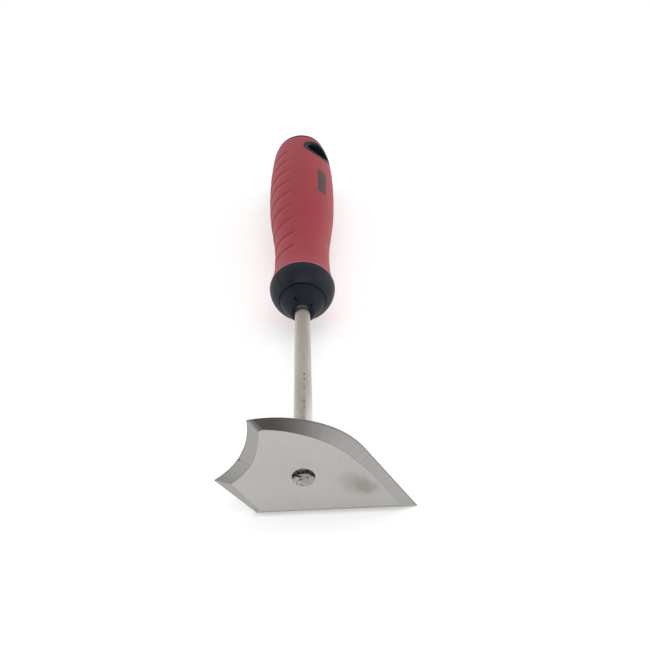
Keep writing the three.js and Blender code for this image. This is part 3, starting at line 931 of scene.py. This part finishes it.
def groove_depth(y, angle):
    """Depth of the shingle grooves on the flanks."""
    away = angle_from_top(angle)
    along = (y - GROOVE_FIRST_Y) / GROOVE_ZONE_LENGTH
    start = GROOVE_START + GROOVE_START_DRIFT * min(max(along, 0.0), 1.0)
    share = smooth_step(start, start + GROOVE_FADE, away) * (1 - smooth_step(*GROOVE_END, away))
    if share == 0:
        return 0.0
    lean = GROOVE_LEAN * (away - start)
    depth = 0.0
    for i in range(GROOVE_COUNT):
        d = y + lean - (GROOVE_FIRST_Y + i * GROOVE_PITCH - GROOVE_CLOSING * i * (i - 1))
        if -GROOVE_RAMP < d <= 0:
            depth += (1 + d / GROOVE_RAMP) ** 2
        elif 0 < d < GROOVE_STEP:
            depth += 1 - smooth_step(0, GROOVE_STEP, d)
    return GROOVE_DEPTH * share * depth


def worn_end(y, angle):
    """How far the butt end falls away on its right side, next to the hanging hole."""
    turn = (angle - WORN_BEARING + 180) % 360 - 180
    return WORN_DEPTH * smooth_step(*WORN_STATIONS, y) * math.exp(-(turn / WORN_SPREAD) ** 2)


def handle_point(radius, y, angle):
    a = math.radians(angle)
    return (radius * math.sin(a), y, radius * math.cos(a))


def eyelet_rod(radius):
    """Closed rod square to the handle axis, along the handle's top line, for cutting."""
    rings = []
    for height in (-30.0, 30.0):
        ring = []
        for j in range(128):
            b = 2 * math.pi * j / 128
            ring.append(across(radius * math.cos(b), radius * math.sin(b), height))
        rings.append(ring)
    mesh = mesh_from("eyelet_rod", rings)
    tidy_normals(mesh)
    return mesh


def across(u, v, height):
    """Point by its sideways and lengthways offsets from the eyelet's axis and height along it."""
    a = math.radians(TOP_ANGLE)
    side = Vector((math.cos(a), 0, -math.sin(a)))
    up = Vector((math.sin(a), 0, math.cos(a)))
    return tuple(Vector((0, EYELET_Y + v, 0)) + side * u + up * height)


def patch_mesh(name, inner, outer, margin, steps=24, stations=24):
    """Curved block that follows the grip's surface around the label."""
    rings = []
    half_length = LABEL_LENGTH / 2 + margin
    half_span = LABEL_SPAN / 2 + margin * 3.4
    for i in range(stations + 1):
        y = LABEL_CENTRE_Y - half_length + 2 * half_length * i / stations
        radius = radius_at(GRIP_PROFILE, y)
        ring = []
        for j in range(steps + 1):
            angle = TOP_ANGLE - half_span + 2 * half_span * j / steps
            ring.append(handle_point(radius + outer, y, angle))
        for j in range(steps, -1, -1):
            angle = TOP_ANGLE - half_span + 2 * half_span * j / steps
            ring.append(handle_point(radius + inner, y, angle))
        rings.append(ring)
    mesh = mesh_from(name, rings)
    tidy_normals(mesh)
    return mesh


def make_grip():
    segments = 240
    outer = []
    stations = 560
    for i in range(stations + 1):
        y = SLEEVE_FRONT_Y + (SLEEVE_BACK_Y - SLEEVE_FRONT_Y) * i / stations
        base = radius_at(GRIP_PROFILE, y)
        near_end = min(y - SLEEVE_FRONT_Y, SLEEVE_BACK_Y - y)
        lip = 0.45
        if near_end < lip:
            base -= lip - math.sqrt(max(lip**2 - (lip - near_end) ** 2, 0.0))
        ring = []
        for j in range(segments):
            angle = TOP_ANGLE + 360 * j / segments
            ring.append(handle_point(base - groove_depth(y, angle) - worn_end(y, angle), y, angle))
        outer.append(ring)
    inner = []
    for radius, y in GRIP_BORE:
        inner.append([handle_point(radius, y, TOP_ANGLE + 360 * j / segments)
                      for j in range(segments)])
    mesh = mesh_from("grip_skin", outer + inner, loop=True)
    grip = add_piece("grip_skin", mesh, ["grip_sleeve"], RED)
    tidy_normals(mesh, 50)
    cut(grip, eyelet_rod(EYELET_RADIUS + EYELET_PLAY))
    cut(grip, patch_mesh("pocket", -1.3, 2.0, 0.08))
    tidy_normals(grip.data, 40)


def make_label():
    mesh = patch_mesh("label_inlay", -1.2, -0.05, 0.0)
    add_piece("label_inlay", mesh, ["label_plate"], LABEL)


def make_eyelet():
    """Liner of the hanging hole with rounded mouths that follow the grip on both sides."""
    segments = 144

    def surface(u, v, sign):
        radius = radius_at(GRIP_PROFILE, EYELET_Y + v) + EYELET_PROUD
        angle = TOP_ANGLE + math.degrees(math.asin(u / radius))
        if sign > 0:
            radius -= worn_end(EYELET_Y + v, angle)
        return math.sqrt(radius**2 - u**2)

    stations = [(EYELET_RADIUS, -1.6), (EYELET_RADIUS, -0.25), (EYELET_RADIUS - 0.08, -0.08),
                (EYELET_RADIUS - 0.25, 0.0)]
    stations += [(EYELET_RADIUS - 0.25 - 0.2 * i, 0.0) for i in range(1, 8)]
    lip = 1.1
    for i in range(1, 9):
        a = math.radians(90 * i / 8)
        stations.append((EYELET_HOLE_RADIUS + lip - lip * math.sin(a), -lip + lip * math.cos(a)))

    def ring(radius, drop, sign):
        points = []
        for j in range(segments):
            b = 2 * math.pi * j / segments
            u = radius * math.cos(b)
            v = radius * math.sin(b)
            edge = surface(EYELET_RADIUS * math.cos(b), EYELET_RADIUS * math.sin(b), sign)
            here = surface(u, v, sign)
            blend = (EYELET_RADIUS - radius) / (EYELET_RADIUS - EYELET_HOLE_RADIUS)
            height = edge + (here - edge) * (1 - 0.25 * blend) + drop
            points.append(across(u, v, sign * height))
        return points

    rings = [ring(radius, drop, 1) for radius, drop in stations]
    rings += [ring(radius, drop, -1) for radius, drop in reversed(stations)]
    mesh = mesh_from("hanging_eyelet_liner", rings, loop=True)
    add_piece("hanging_eyelet_liner", mesh, ["hanging_eyelet"], BLACK)
    tidy_normals(mesh, 50)


def make_end_cap():
    front = SLEEVE_BACK_Y + 0.25
    profile = [(ON_AXIS, front), (BUTT_RADIUS - 0.3, front), (BUTT_RADIUS, front + 0.3)]
    profile += arc((BUTT_RADIUS - 0.4, BUTT_Y - 0.4), 0.4, 0, 90, 8)
    profile += [(BUTT_RADIUS - 3.0, BUTT_Y), (ON_AXIS, BUTT_Y)]

    def fall_away(radius, y, a):
        return -worn_end(y, math.degrees(a)) * radius / BUTT_RADIUS

    mesh = mesh_from("butt_cap", lathe_rings(profile, 144, fall_away))
    add_piece("butt_cap", mesh, ["end_cap"], DULL_BLACK)
    tidy_normals(mesh, 40)


make_blade()
make_weld()
make_shank()
make_collar()
make_bolster()
make_grip()
make_label()
make_eyelet()
make_end_cap()

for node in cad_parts.values():
    if node.name == "handle_core":
        node.data.materials.clear()
        node.data.materials.append(BLACK)

# ------------------------------------------------------------------ floor, light and world


def make_floor():
    mesh = bpy.data.meshes.new("floor")
    corners = [(-1, -1), (1, -1), (1, 1), (-1, 1)]
    mesh.from_pydata([(x * FLOOR_HALF, y * FLOOR_HALF, 0) for x, y in corners], [], [(0, 1, 2, 3)])
    floor = bpy.data.objects.new("floor", mesh)
    bpy.context.scene.collection.objects.link(floor)
    n = Nodes("floor_white")
    n.set(Base_Color=(0.70, 0.70, 0.70, 1.0), Roughness=0.9)
    n.set(Emission_Color=(1.0, 1.0, 1.0, 1.0), Emission_Strength=FLOOR_GLOW)
    mesh.materials.append(n.material)


def add_area(name, position, target, size, power):
    data = bpy.data.lights.new(name, "AREA")
    data.shape = "RECTANGLE"
    data.size, data.size_y = size
    data.energy = power
    light = bpy.data.objects.new(name, data)
    bpy.context.scene.collection.objects.link(light)
    light.location = position
    light.rotation_mode = "QUATERNION"
    light.rotation_quaternion = (Vector(target) - Vector(position)).to_track_quat("-Z", "Y")


def make_world():
    """White light tent: bright all round, with a dark opening in front and above."""
    world = bpy.data.worlds.new("studio")
    bpy.context.scene.world = world
    world.use_nodes = True
    tree = world.node_tree
    background = tree.nodes["Background"]
    background.inputs["Strength"].default_value = TENT_STRENGTH
    direction = tree.nodes.new("ShaderNodeTexCoord").outputs["Generated"]
    facing = tree.nodes.new("ShaderNodeVectorMath")
    facing.operation = "DOT_PRODUCT"
    height = math.radians(OPENING_HEIGHT)
    turn = math.radians(OPENING_TURN)
    facing.inputs[1].default_value = (
        math.sin(turn) * math.cos(height), -math.cos(turn) * math.cos(height), math.sin(height))
    tree.links.new(direction, facing.inputs[0])
    ramp = tree.nodes.new("ShaderNodeValToRGB")
    stops = ramp.color_ramp.elements
    while len(stops) < len(OPENING_RAMP):
        stops.new(0.5)
    for stop, (position, level) in zip(stops, OPENING_RAMP):
        stop.position = position
        stop.color = (level, level, level, 1.0)
    tree.links.new(facing.outputs["Value"], ramp.inputs["Fac"])
    tree.links.new(ramp.outputs["Color"], background.inputs["Color"])


make_world()
make_floor()
for light_settings in LIGHTS:
    add_area(*light_settings)
bpy.context.scene.view_settings.view_transform = "Standard"
